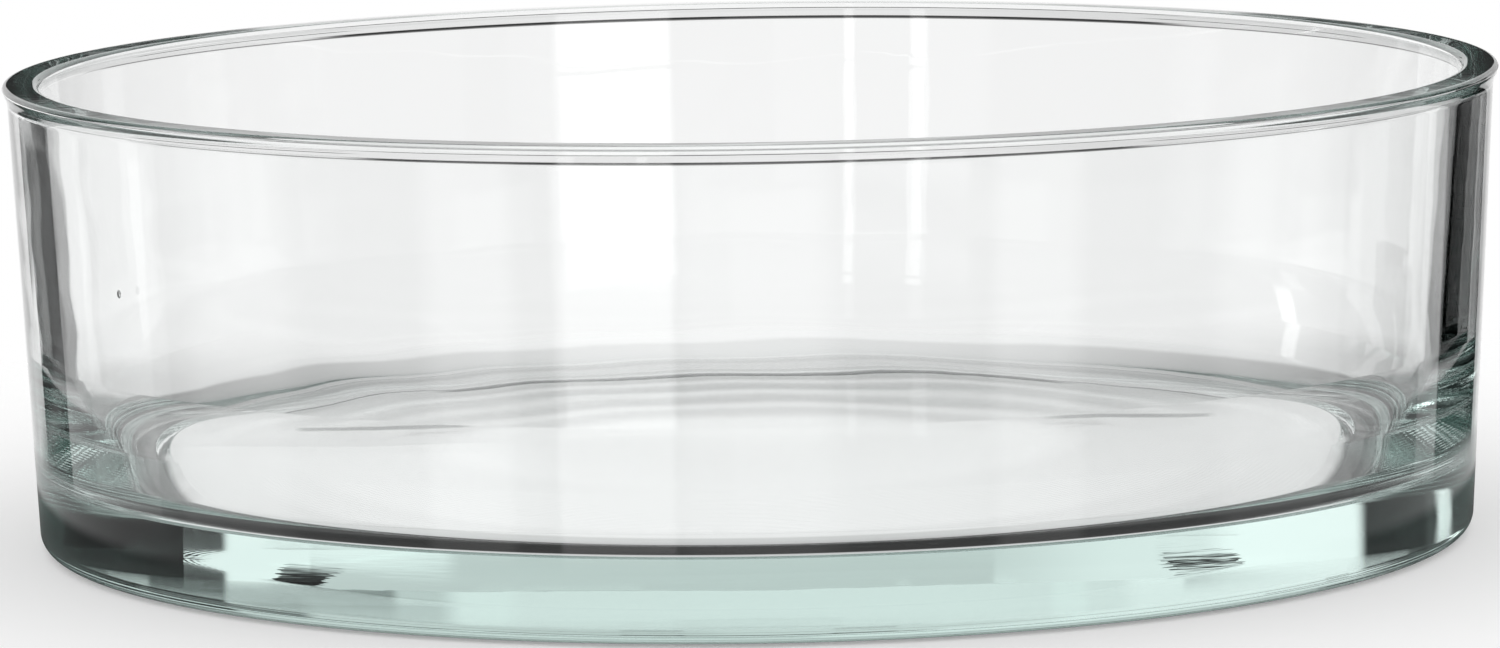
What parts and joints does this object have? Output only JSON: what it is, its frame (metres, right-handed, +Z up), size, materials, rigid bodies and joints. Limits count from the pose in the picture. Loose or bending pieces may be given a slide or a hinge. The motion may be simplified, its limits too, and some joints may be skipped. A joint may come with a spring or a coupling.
{
  "type": "floating candle bowl",
  "caption": "Low round bowl of clear pressed glass with a thick flat floor and a beaded rim, for floating candles or a dry arrangement.",
  "frame": {"origin": "middle of the foot, on the plane that the bowl stands on", "axes": "+Z up along the bowl's axis, out through the open mouth; the bowl is round, so +X and +Y are free"},
  "size_m": [0.25, 0.25, 0.078],
  "materials": {
    "clear_glass": "polished clear soda-lime glass, faintly green-blue where it is thick"
  },
  "bodies": {
    "root": {"glass_bowl": "clear_glass"}
  },
  "joints": []
}
